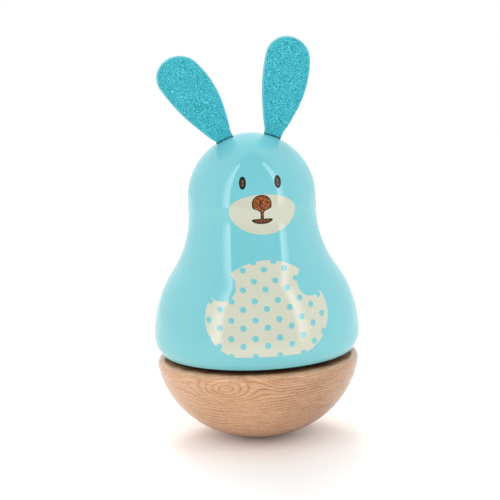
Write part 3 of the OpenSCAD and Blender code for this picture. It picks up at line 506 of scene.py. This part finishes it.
def felt():
    """Pressed felt: a fine speckle of light and dark fibres, a pale cut edge, a nap and a soft sheen."""
    s = Shader("felt")
    fibres = s.noise(FIBRE, 2, 0.65)
    speckle = s.ramp(fibres, (0.37, FIBRE_DARK), (0.5, FIBRE_MIDDLE), (0.63, FIBRE_LIGHT))
    tone = s.ramp(s.noise(BLOTCH, 3), (0.35, BLOTCH_DARK), (0.65, (1, 1, 1)))
    cloth = s.mix(1.0, speckle, tone, "MULTIPLY")
    cut_edge = s.spread(s.attribute("rim"), *CUT_EDGE)
    cloth = s.mix(cut_edge, CUT_COLOUR, cloth)
    # Painted shade on the felt near its slot
    root = s.math("MULTIPLY_ADD", fibres, ROOT_FRAY, s.attribute("root"))
    root = s.spread(root, ROOT_FRAY / 2, ROOT_FRAY / 2 + ROOT_SHADE)
    s.set(Base_Color=s.mix(root, ROOT_SHADE_COLOUR, cloth), Roughness=0.95, Specular_IOR_Level=0.1)
    s.set(Sheen_Weight=0.35, Sheen_Roughness=0.4, Sheen_Tint=SHEEN_COLOUR)
    return s.set(Normal=s.relief(s.noise(FELT_NAP, 4, 0.7), FELT_NAP_DEPTH)).material


# Beech's oval figure by the rim: middle, length to height, openness, rise, share of lines, and reach
FIGURE_C = (-22.5, 34.2)
FIGURE_LONG = 2.0
FIGURE_OPEN = 0.9
FIGURE_RISE = 4.5
FIGURE_SHOWS = 0.55
FIGURE_FADE = (4, 14)

# Beech's ring lines: pitch, slant to the back, wander, and the dark line's two flanks in each ring
RING_PITCH = 1.45
RING_SLANT = -0.1
RING_WANDER = 3.0
RING_WAVE = (60, 60, 24)
LINE_RISE = (0.55, 0.92)
LINE_FALL = (0.94, 1.0)

# Beech from left to right: its lines draw together and show more, and painted shade darkens the wood
FAN_X = (-30, 20)
FAN = 0.62
LINE_X = (-25, 20)
LINE_FAINT = 0.75
PAINTED_SHADE_X = (-13, 26)
PAINTED_SHADE = 0.24

# Beech's fine detail: sizes of the lines' fades and dashes, flecks and grain, and how each shows
FADE = (18, 18, 8)
FADE_RANGE = (0.35, 0.65)
FADE_LEAST = 0.3
DASH = (1.4, 1.4, 0.5)
DASH_RANGE = (0.4, 0.6)
DASH_LEAST = 0.35
FLECK = (1.7, 1.7, 0.3)
FLECK_RANGE = (0.58, 0.68)
FLECK_SHOWS = 0.6
GRAIN = (9, 9, 0.5)
GRAIN_DEPTH = 0.06
GRAIN_SHOWS = 0.5

# Beech's colours: dark, middle and light grain, ring lines, flecks, painted gap shade and painted rim
# highlight
GRAIN_DARK = linear(207, 156, 113)
GRAIN_MIDDLE = linear(222, 176, 136)
GRAIN_LIGHT = linear(237, 196, 158)
LINE_COLOUR = linear(140, 84, 48)
FLECK_COLOUR = linear(146, 94, 60)
GAP_SHADE_COLOUR = linear(44, 28, 18)
RIM_HIGHLIGHT_COLOUR = linear(244, 216, 192)

# Painted shade under the body: where the painted shade in the gap ends, and how dark it is
GAP_SHADE_R = (40.5, 48)
GAP_SHADE_Z = (39, 40)
GAP_SHADE = 0.85

# Painted highlight round the rim, as paler wood: the heights where it starts and ends, and how much it
# shows
RIM_HIGHLIGHT_LOW = (37.8, 39.2)
RIM_HIGHLIGHT_HIGH = (39.8, 40.4)
RIM_HIGHLIGHT = 0.1


def beech():
    """Oiled beech, turned: fine ring lines, an oval figure by the rim, and short dark flecks."""
    s = Shader("beech")
    x, y, z = s.apart(s.scaled((1, 1, 1)))

    # Ring field: heights that fan out to the left, and an oval that takes their place by the rim
    across = s.math("DIVIDE", s.math("SUBTRACT", x, FIGURE_C[0]), FIGURE_LONG)
    up = s.math("SUBTRACT", z, FIGURE_C[1])
    off = s.math("SQRT", s.math("ADD", s.math("MULTIPLY", across, across), s.math("MULTIPLY", up, up)))
    figure = s.spread(off, *FIGURE_FADE, 1.0, 0.0)
    fanned = s.math("MULTIPLY", up, s.spread(x, *FAN_X, FAN, 1.0))
    oval = s.math("SUBTRACT", s.math("MULTIPLY_ADD", off, -FIGURE_OPEN, FIGURE_RISE), fanned)
    field = s.math("MULTIPLY_ADD", figure, oval, fanned)
    field = s.math("MULTIPLY_ADD", y, RING_SLANT, field)
    field = s.math("MULTIPLY_ADD", s.noise(RING_WAVE), RING_WANDER, field)

    # Dark lines in the rings, which fade in places and break into dashes
    ring = s.math("FRACT", s.math("DIVIDE", field, RING_PITCH))
    line = s.math("MULTIPLY", s.spread(ring, *LINE_RISE), s.spread(ring, *LINE_FALL, 1.0, 0.0))
    fade = s.spread(s.noise(FADE), *FADE_RANGE, FADE_LEAST, 1.0)
    fade = s.math("MULTIPLY", fade, s.spread(x, *LINE_X, LINE_FAINT, 1.0))
    fade = s.math("MAXIMUM", fade, s.math("MULTIPLY", figure, FIGURE_SHOWS))
    dashes = s.spread(s.noise(DASH, 1), *DASH_RANGE, DASH_LEAST, 1.0)
    line = s.math("MULTIPLY", s.math("MULTIPLY", line, fade), dashes)

    # Wood with its grain, lines and flecks
    fleck = s.spread(s.noise(FLECK, 2, 0.6), *FLECK_RANGE)
    grain = s.noise(GRAIN, 3, 0.6)
    wood = s.ramp(grain, (0.32, GRAIN_DARK), (0.55, GRAIN_MIDDLE), (0.78, GRAIN_LIGHT))
    wood = s.mix(line, wood, LINE_COLOUR)
    wood = s.mix(s.math("MULTIPLY", fleck, FLECK_SHOWS), wood, FLECK_COLOUR)
    # Painted shade: the wood darkens towards the right
    wood = s.mix(s.spread(x, *PAINTED_SHADE_X, 0.0, PAINTED_SHADE), wood, (0, 0, 0))

    # Painted shade in the gap under the body, and a painted highlight as a paler band round the rim
    around = s.math("SQRT", s.math("ADD", s.math("MULTIPLY", x, x), s.math("MULTIPLY", y, y)))
    gap_shade = s.math("MULTIPLY", s.spread(around, *GAP_SHADE_R, 1.0, 0.0), s.spread(z, *GAP_SHADE_Z))
    wood = s.mix(s.math("MULTIPLY", gap_shade, GAP_SHADE), wood, GAP_SHADE_COLOUR)
    # Painted highlight: a paler band round the rim
    edge = s.math("MULTIPLY", s.spread(z, *RIM_HIGHLIGHT_LOW), s.spread(z, *RIM_HIGHLIGHT_HIGH, 1.0, 0.0))
    wood = s.mix(s.math("MULTIPLY", edge, RIM_HIGHLIGHT), wood, RIM_HIGHLIGHT_COLOUR)

    s.set(Base_Color=wood, Roughness=0.5, Specular_IOR_Level=0.2, Coat_Weight=0.9, Coat_Roughness=0.07)
    return s.set(Normal=s.relief(grain, GRAIN_DEPTH, GRAIN_SHOWS)).material


# Metal: usual size of its tool marks, their depth and strength, and its faint patches
MARKS = (6, 0.3, 0.3)
MARK_DEPTH = 0.02
MARK_SHOWS = 0.4
METAL_PATCH = 3
METAL_WANDER = 0.08

# Matt materials: strength of their grain
MATT_SHOWS = 0.6


def metal(name, colour, rough, size=MARKS):
    """Worked metal with fine tool marks."""
    s = Shader(name)
    marks = s.noise(size, 3, 0.6)
    s.set(Base_Color=varied(s, colour, METAL_PATCH, METAL_WANDER), Metallic=1.0)
    s.set(Roughness=s.spread(marks, 0.3, 0.7, rough * 0.7, rough * 1.3))
    return s.set(Normal=s.relief(marks, MARK_DEPTH, MARK_SHOWS)).material


def plain(name, colour, rough, size, amount, depth):
    """A matt material with a grain of its own."""
    s = Shader(name)
    s.set(Base_Color=varied(s, colour, size, amount), Roughness=rough)
    return s.set(Normal=s.relief(s.noise(size, 4, 0.6), depth, MATT_SHOWS)).material


LACQUER = lacquer("lacquered_wood", linear(122, 204, 212), amount=0.015, blur=0.08)
CREAM = lacquer("cream_print", linear(204, 209, 189), amount=0.02, blur=0.13)
# The tummy's cream is the muzzle's print painted lighter, to make up for weaker light low on the body
LIT_TUMMY_CREAM = lacquer("cream_tummy_print_painted_light", linear(209, 214, 194), amount=0.02, blur=0.13)
BURNT = burnt_wood("burnt_nose", edge_colour=linear(44, 12, 2), dark=linear(60, 18, 0),
                   middle=linear(118, 52, 12), light=linear(214, 132, 62), edge_w=0.8,
                   deep_z=STEM_TOP_Z)
BURNT_DARK = burnt_wood("burnt_eye", edge_colour=linear(8, 6, 4), dark=linear(40, 28, 12),
                        middle=linear(84, 61, 32), light=linear(134, 104, 62), edge_w=1.2)
FELT = felt()
FINISHES = {
    "beech": beech(),
    "lacquered_wood": LACQUER,
    "felt": FELT,
    "plywood": plain("plywood", linear(206, 176, 136), 0.65, (14, 1.2, 14), 0.12, 0.08),
    "cast_iron": plain("cast_iron", linear(72, 72, 74), 0.7, 0.8, 0.2, 0.12),
    "steel": metal("steel", linear(190, 192, 194), 0.25),
    "spring_steel": metal("spring_steel", linear(96, 108, 128), 0.3, (0.3, 0.3, 6)),
    "brass": metal("brass", linear(218, 176, 92), 0.25),
    "zinc": metal("zinc", linear(176, 178, 182), 0.4, (1.5, 1.5, 1.5)),
    "lead": plain("lead", linear(106, 108, 112), 0.6, 0.7, 0.15, 0.08),
    "nylon": plain("nylon", linear(228, 224, 206), 0.5, 1.2, 0.04, 0.03),
}


def finish_with(obj, material):
    """Gives an object one material."""
    obj.data.materials.clear()
    obj.data.materials.append(material)
    return obj


def put(obj, material):
    """Finishes a piece and lets it ride on the rabbit."""
    finish_with(obj, material)
    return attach(obj, "rabbit")


# CAD nodes keep their shapes, and take the finish of their slot in the record
for row in frame["record"]["subparts"]:
    finish_with(nodes[row["node"]], FINISHES[row["material_slot"]])

# Prints and burnt marks on the body
nose = nose_outline()
muzzle = ellipse(MUZZLE_C, MUZZLE_HALF_W, MUZZLE_TOP, MUZZLE_BOTTOM, MUZZLE_TILT, MUZZLE_COUNT)
tummy = tummy_outline()
put(inlay("tummy_print", tummy, dot_outlines(tummy)), LIT_TUMMY_CREAM)
put(inlay("muzzle_print", muzzle, [nose]), CREAM)
put(inlay("nose_and_mouth", nose, lift=BURN_LIFT, step=NOSE_STEP), BURNT)
for name, (x, z, tilt) in EYES.items():
    eye = ellipse((x, z), EYE_HALF_W, EYE_HALF_H, EYE_HALF_H, tilt, EYE_COUNT)
    put(inlay(name, eye, lift=BURN_LIFT, step=EYE_STEP), BURNT_DARK)

# Ears: side arcs that run into a round tip, over a straight tenon
EAR_T = 3
EAR_L = 49.2
EAR_HALF_W = 11.3
EAR_SIDE_R = 64
EAR_TIP_R = 11
EAR_TENON = 9
EAR_STRAIGHT = 3
EAR_RISE = math.sqrt((EAR_SIDE_R - EAR_TIP_R) ** 2 - (EAR_SIDE_R - EAR_HALF_W) ** 2)
EAR_TIP_AT = EAR_L - EAR_TIP_R
EAR_WIDE_AT = EAR_TIP_AT - EAR_RISE
EAR_SIDE_C = EAR_HALF_W - EAR_SIDE_R
EAR_TANGENT = EAR_TIP_AT + EAR_TIP_R * EAR_RISE / (EAR_SIDE_R - EAR_TIP_R)

# Each ear: place of its root, lean, depth further in, and how far its middle bows to the right
EARS = {"ear_left": (-12.2, -34.6, 0.8, 1.2), "ear_right": (11.4, 12.4, 0.0, 1.2)}

# The felt swells a little where it leaves its slot
SWELL = 0.7
SWELL_L = 9
SWELL_GROW = 4

# Felt's form: rounded edges, blunt tip, length over which it comes free of its slot, curl and nap
EDGE_R = 1.1
TIP_CUT = 0.1
FREE_L = 6
CURL = 0.5
CURL_L = 17
NAP = 0.09
NAP_SIZE = 0.9
NAP_FALL = 0.7
NAP_FINER = 2.0
NAP_LAYERS = 3

# Felt's mesh: rows along the ear, points across it, degrees of an edge's step, and its hard edges
EAR_ROWS = 150
EAR_ACROSS = 40
EDGE_STEP = 10
EAR_SHARP = 60


def ear_half_width(t):
    """Half the ear's width at a distance from its root."""
    if t > EAR_TANGENT:
        return math.sqrt(max(0, EAR_TIP_R**2 - (t - EAR_TIP_AT) ** 2))
    side = EAR_SIDE_C + math.sqrt(EAR_SIDE_R**2 - (max(t, EAR_STRAIGHT) - EAR_WIDE_AT) ** 2)
    out_of_slot = min(1, max(0, 1 + (t - EAR_STRAIGHT) / SWELL_GROW))
    return side + SWELL * out_of_slot * max(0, 1 - max(0, t - EAR_STRAIGHT) / SWELL_L)


def ear_rim(across, t):
    """Distance from a place on the ear to its outline."""
    if t > EAR_TANGENT:
        return EAR_TIP_R - math.hypot(across, t - EAR_TIP_AT)
    return ear_half_width(t) - abs(across)


def ear_section(half_w):
    """A slab's section with rounded edges, counter-clockwise, as (across, thickness)."""
    x, y = half_w - EDGE_R, EAR_T / 2 - EDGE_R
    right = arc((x, y), EDGE_R, 0, 90, EDGE_STEP)
    right = [(px, -py) for px, py in reversed(right)] + right
    top = [(px, EAR_T / 2) for px in np.linspace(x, -x, EAR_ACROSS)[1:-1]]
    return right + top + [(-px, -py) for px, py in right + top]


def ear(name, x, lean, sink, bow):
    """A felt ear: a napped slab that curls and bows a little."""
    points, faces, rims, heights = [], [], [], []
    turn = Matrix.Rotation(math.radians(lean), 3, "Y")
    root = Vector((x, 0, HEAD_Z + math.sqrt(HEAD_R**2 - x * x)))
    total = EAR_L - TIP_CUT + EAR_TENON
    rows = [-EAR_TENON + total * math.sin(a) for a in np.linspace(0, math.pi / 2, EAR_ROWS)]
    for t in rows:
        free = min(1, max(0, t / FREE_L))
        sway = bow * math.sin(math.pi * max(0, t) / EAR_L)
        for across, through in ear_section(ear_half_width(t)):
            p = Vector((across, through, t))
            bend = CURL * free * (math.sin(t / CURL_L + x) + (across / EAR_HALF_W) ** 2)
            rough = noise.fractal(p / NAP_SIZE + Vector((x, 0, 0)), NAP_FALL, NAP_FINER, NAP_LAYERS)
            nap = NAP * free * rough
            grow = 1 + nap / max(p.xy.length, 1)
            points.append(root + turn @ Vector((across * grow + sway, through + bend + nap, t - sink)))
            rims.append(ear_rim(across, t))
            heights.append((points[-1] - Vector((0, 0, HEAD_Z))).length - HEAD_R)
    ring = len(points) // EAR_ROWS
    for row in range(EAR_ROWS - 1):
        for i in range(ring):
            a, b = row * ring + i, row * ring + (i + 1) % ring
            faces.append((a, b, b + ring, a + ring))
    faces.append(tuple(reversed(range(ring))))
    faces.append(tuple(range((EAR_ROWS - 1) * ring, EAR_ROWS * ring)))
    obj = make_object(name, points, faces, EAR_SHARP)
    keep(obj, "root", heights)
    return keep(obj, "rim", rims)


# Felt ears take the place of their slabs
for name, shape in EARS.items():
    piece = put(ear("felt_" + name, *shape), FELT)
    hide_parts(name)

# Floor: radius, step of its rim in degrees, glow by the object, and the oval where that turns white
FLOOR_R = 0.95
FLOOR_STEP = 3.75
FLOOR_LIFT = 0.03
FLOOR_FADE = 0.25
FLOOR_LONG = 4

# World: its level, how dark the gloss sees the front, and where the bright walls start and rise
WORLD_LEVEL = 0.78
FRONT_GLOSS = 0.04
WALL_NEAR = 0.66
WALL_SIDE = 0.75
WALL_TOP = 0.15
WALL_EDGE = (-0.06, 0.04)
WALL_RISE = (0.1, 0.8)

# Softboxes, in metres: distance, lower and upper ends, share of their soft inner edge, and tint
SOFTBOX_AWAY = 1.25
SOFTBOX_FOOT = -0.16
SOFTBOX_TOP = 3.0
SOFTBOX_EDGE = 0.3
SOFTBOX_TINT = (1.0, 0.93, 0.98)


def make_floor():
    """A pale round floor that keeps the shadow, and fades to the white background around it."""
    rim = arc((0, 0), FLOOR_R, 0, 360 - FLOOR_STEP, FLOOR_STEP)
    mesh = bpy.data.meshes.new("floor")
    mesh.from_pydata([(x, y, 0) for x, y in rim], [], [tuple(range(len(rim)))])
    floor = bpy.data.objects.new("floor", mesh)
    bpy.context.scene.collection.objects.link(floor)
    s = Shader("floor")
    seen = s.add("LightPath", output="Is Camera Ray")
    oval = s.add("Mapping", inputs={"Vector": s.place, "Scale": (1, 1 / FLOOR_LONG, 1)})
    away = s.add("VectorMath", output="Value", inputs={0: oval}, operation="LENGTH")
    lift = s.spread(away, 0.0, FLOOR_FADE, FLOOR_LIFT, 1.0, "LINEAR")
    s.set(Base_Color=linear(246, 244, 241), Roughness=0.9, Specular_IOR_Level=0.0)
    s.set(Emission_Color=(1, 1, 1), Emission_Strength=s.math("MULTIPLY", seen, lift))
    finish_with(floor, s.material)


def make_world():
    """White behind and beside the object, and an open, darker room in front and above for the gloss."""
    world = bpy.data.worlds.new("studio")
    bpy.context.scene.world = world
    world.use_nodes = True
    n = Nodes(world.node_tree)
    x, y, z = n.apart(n.add("TexCoord", output="Generated"))
    side = n.math("MULTIPLY_ADD", n.math("ABSOLUTE", x), WALL_SIDE, y)
    side = n.math("MULTIPLY_ADD", z, -WALL_TOP, side)
    near = n.spread(side, *WALL_EDGE, FRONT_GLOSS, WALL_NEAR)
    wall = n.math("ADD", near, n.spread(side, *WALL_RISE, 0.0, 1 - WALL_NEAR))
    path = n.add("LightPath").node.outputs
    gloss = n.math("MAXIMUM", path["Is Glossy Ray"], path["Is Transmission Ray"])
    strength = n.math("MULTIPLY_ADD", gloss, n.math("SUBTRACT", wall, WORLD_LEVEL), WORLD_LEVEL)
    strength = n.math("MAXIMUM", strength, path["Is Camera Ray"])
    back = n.tree.nodes["Background"]
    n.plug(back.inputs["Color"], (1, 1, 1))
    n.plug(back.inputs["Strength"], strength)


def make_light(name, azimuth, distance, height, size, radiance, aim_z):
    """A rectangular soft light that faces the object, by its brightness."""
    data = bpy.data.lights.new(name, "AREA")
    data.shape = "RECTANGLE"
    data.size, data.size_y = size
    data.energy = radiance * math.pi * size[0] * size[1]
    light = bpy.data.objects.new(name, data)
    a = math.radians(azimuth)
    light.location = (distance * math.sin(a), -distance * math.cos(a), height)
    light.rotation_euler = (Vector((0, 0, aim_z)) - light.location).to_track_quat("-Z", "Y").to_euler()
    bpy.context.scene.collection.objects.link(light)
    return light


def make_softbox(name, inner, outer, radiance, fade):
    """A tall strip between two azimuths, brightest near its inner edge."""
    width = 2 * SOFTBOX_AWAY * math.tan(math.radians(abs(outer - inner) / 2))
    size = (width, SOFTBOX_TOP - SOFTBOX_FOOT)
    height = (SOFTBOX_TOP + SOFTBOX_FOOT) / 2
    light = make_light(name, (inner + outer) / 2, SOFTBOX_AWAY, height, size, radiance, height)
    light.data.color = SOFTBOX_TINT
    light.data.use_nodes = True
    n = Nodes(light.data.node_tree)
    across, _, _ = n.apart(n.add("NewGeometry", output="Parametric"))
    ends = (1, 0) if inner > outer else (0, 1)
    outward = n.spread(across, 0, 1, *ends, "LINEAR")
    rise = n.spread(outward, 0, SOFTBOX_EDGE)
    fall = n.spread(outward, 0, 1, 1, fade, "LINEAR")
    n.plug(n.tree.nodes["Emission"].inputs["Strength"], n.math("MULTIPLY", rise, fall))


make_floor()
make_world()
make_softbox("strip_left", inner=-45.5, outer=-62, radiance=4.8, fade=0.1)
make_softbox("strip_right", inner=36.5, outer=52.5, radiance=4.8, fade=0.2)
key = make_light("key", azimuth=180, distance=1.35, height=1.4, size=(0.9, 0.8), radiance=7.0,
                 aim_z=0.05)
key.visible_glossy = False

# Camera: the point it aims at in metres, where that falls in the photograph, and how large it is there
AIM = Vector((0, 0, 0.09))
PHOTO = 500
AIM_PX = (254.04, 254.54)
PX_PER_MM = 2.0370
DISTANCE = 1.3
AZIMUTH = -8
ELEVATION = 11.3
ROLL = 2.23
SENSOR = 36
CLIP_START = 0.05


def make_camera():
    """A camera at the photograph's viewing angle."""
    a, e, roll = (math.radians(v) for v in (AZIMUTH, ELEVATION, ROLL))
    back = Vector((math.sin(a) * math.cos(e), -math.cos(a) * math.cos(e), math.sin(e)))
    right = Vector((math.cos(a), math.sin(a), 0))
    up = back.cross(right)
    turned_right = right * math.cos(roll) - up * math.sin(roll)
    turned_up = right * math.sin(roll) + up * math.cos(roll)
    focal = PX_PER_MM * DISTANCE / MM
    dx = (PHOTO / 2 - AIM_PX[0]) / focal
    dy = (AIM_PX[1] - PHOTO / 2) / focal
    forward = (-back + turned_right * dx + turned_up * dy).normalized()
    across = forward.cross(turned_up).normalized()
    upward = across.cross(forward)
    data = bpy.data.cameras.new("camera")
    data.sensor_width = SENSOR
    data.lens = focal / PHOTO * SENSOR
    data.clip_start = CLIP_START
    camera = bpy.data.objects.new("camera", data)
    turned = Matrix((across, upward, -forward)).transposed().to_4x4()
    camera.matrix_world = Matrix.Translation(AIM + back * DISTANCE) @ turned
    bpy.context.scene.collection.objects.link(camera)
    bpy.context.scene.camera = camera


make_camera()
bpy.context.scene.view_settings.view_transform = "Standard"
